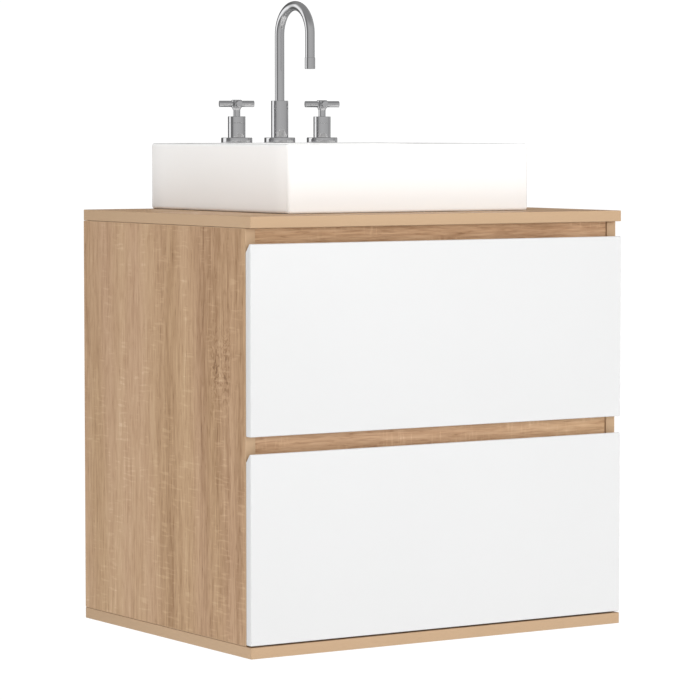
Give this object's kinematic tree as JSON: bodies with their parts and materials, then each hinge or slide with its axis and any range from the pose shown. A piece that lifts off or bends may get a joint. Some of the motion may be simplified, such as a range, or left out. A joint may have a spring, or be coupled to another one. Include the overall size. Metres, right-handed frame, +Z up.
{
  "type": "vessel sink on vanity",
  "caption": "Wall-hung oak-grained vanity with white handleless drawers, a rectangular white vessel sink and a cross-handle gooseneck tap set.",
  "frame": {"origin": "middle of the cabinet's underside", "axes": "+X to the right seen from the front, +Y towards the wall, +Z up; the drawers open towards -Y"},
  "size_m": [0.6, 0.45, 0.8689],
  "materials": {
    "oak_board": "satin oak-grained board",
    "white_lacquer": "satin white lacquer on board",
    "drawer_board": "matte laminated board",
    "glazed_ceramic": "white gloss glaze",
    "chrome": "polished",
    "brass": "plain turned",
    "zinc_steel": "zinc plated",
    "trap_plastic": "matte moulded"
  },
  "bodies": {
    "cabinet": {"top_board": "oak_board", "bottom_board": "oak_board", "left_side_panel": "oak_board", "right_side_panel": "oak_board", "top_rail": "oak_board", "middle_rail": "oak_board", "upper_back_rail": "oak_board", "lower_back_rail": "oak_board", "left_wall_hanger": "zinc_steel", "right_wall_hanger": "zinc_steel", "upper_left_cabinet_member": "zinc_steel", "upper_right_cabinet_member": "zinc_steel", "lower_left_cabinet_member": "zinc_steel", "lower_right_cabinet_member": "zinc_steel", "sink_basin": "glazed_ceramic", "overflow_ring": "chrome", "waste_fitting": "chrome", "waste_nut": "brass", "waste_tailpiece": "chrome", "trap_housing": "trap_plastic", "trap_cup": "trap_plastic", "trap_outlet_pipe": "trap_plastic", "hot_flange": "chrome", "hot_body": "chrome", "hot_lock_nut": "brass", "cold_flange": "chrome", "cold_body": "chrome", "cold_lock_nut": "brass", "spout_flange": "chrome", "spout_body": "chrome", "spout_lock_nut": "brass"},
    "upper_drawer": {"upper_drawer_front": "white_lacquer", "upper_drawer_left_side": "drawer_board", "upper_drawer_right_side": "drawer_board", "upper_drawer_base": "drawer_board", "upper_drawer_trap_guard": "trap_plastic", "upper_drawer_left_back": "drawer_board", "upper_drawer_right_back": "drawer_board", "upper_left_drawer_member": "zinc_steel", "upper_right_drawer_member": "zinc_steel"},
    "upper_middle_members": {"upper_left_middle_member": "zinc_steel", "upper_right_middle_member": "zinc_steel"},
    "lower_drawer": {"lower_drawer_front": "white_lacquer", "lower_drawer_left_side": "drawer_board", "lower_drawer_right_side": "drawer_board", "lower_drawer_base": "drawer_board", "lower_drawer_back": "drawer_board", "lower_left_drawer_member": "zinc_steel", "lower_right_drawer_member": "zinc_steel"},
    "lower_middle_members": {"lower_left_middle_member": "zinc_steel", "lower_right_middle_member": "zinc_steel"},
    "hot_handle": {"hot_spindle": "chrome", "hot_cross_handle": "chrome"},
    "cold_handle": {"cold_spindle": "chrome", "cold_cross_handle": "chrome"},
    "spout": {"gooseneck": "chrome", "spout_tip_ring": "chrome", "spout_aerator": "zinc_steel"},
    "plug": {"popup_plug": "chrome"}
  },
  "joints": [
    {"name": "upper_drawer_slide", "type": "slide", "parent": "cabinet", "child": "upper_drawer", "axis": [0, -1, 0], "range_m": [0, 0.34]},
    {"name": "upper_middle_slide", "type": "slide", "parent": "cabinet", "child": "upper_middle_members", "axis": [0, -1, 0], "range_m": [0, 0.17]},
    {"name": "lower_drawer_slide", "type": "slide", "parent": "cabinet", "child": "lower_drawer", "axis": [0, -1, 0], "range_m": [0, 0.34]},
    {"name": "lower_middle_slide", "type": "slide", "parent": "cabinet", "child": "lower_middle_members", "axis": [0, -1, 0], "range_m": [0, 0.17]},
    {"name": "hot_handle_turn", "type": "hinge", "parent": "cabinet", "child": "hot_handle", "pos_m": [-0.072, 0.188, 0.7053], "axis": [0, 0, 1], "range_deg": [0, 90]},
    {"name": "cold_handle_turn", "type": "hinge", "parent": "cabinet", "child": "cold_handle", "pos_m": [0.072, 0.188, 0.7053], "axis": [0, 0, 1], "range_deg": [-90, 0]},
    {"name": "spout_swivel", "type": "hinge", "parent": "cabinet", "child": "spout", "pos_m": [0, 0.188, 0.7053], "axis": [0, 0, 1], "range_deg": [-60, 60]},
    {"name": "plug_lift", "type": "slide", "parent": "cabinet", "child": "plug", "axis": [0, 0, 1], "range_m": [0, 0.01]}
  ],
  "couplings": [
    {"joint": "upper_middle_slide", "follows": "upper_drawer_slide", "ratio": 0.5},
    {"joint": "lower_middle_slide", "follows": "lower_drawer_slide", "ratio": 0.5}
  ]
}
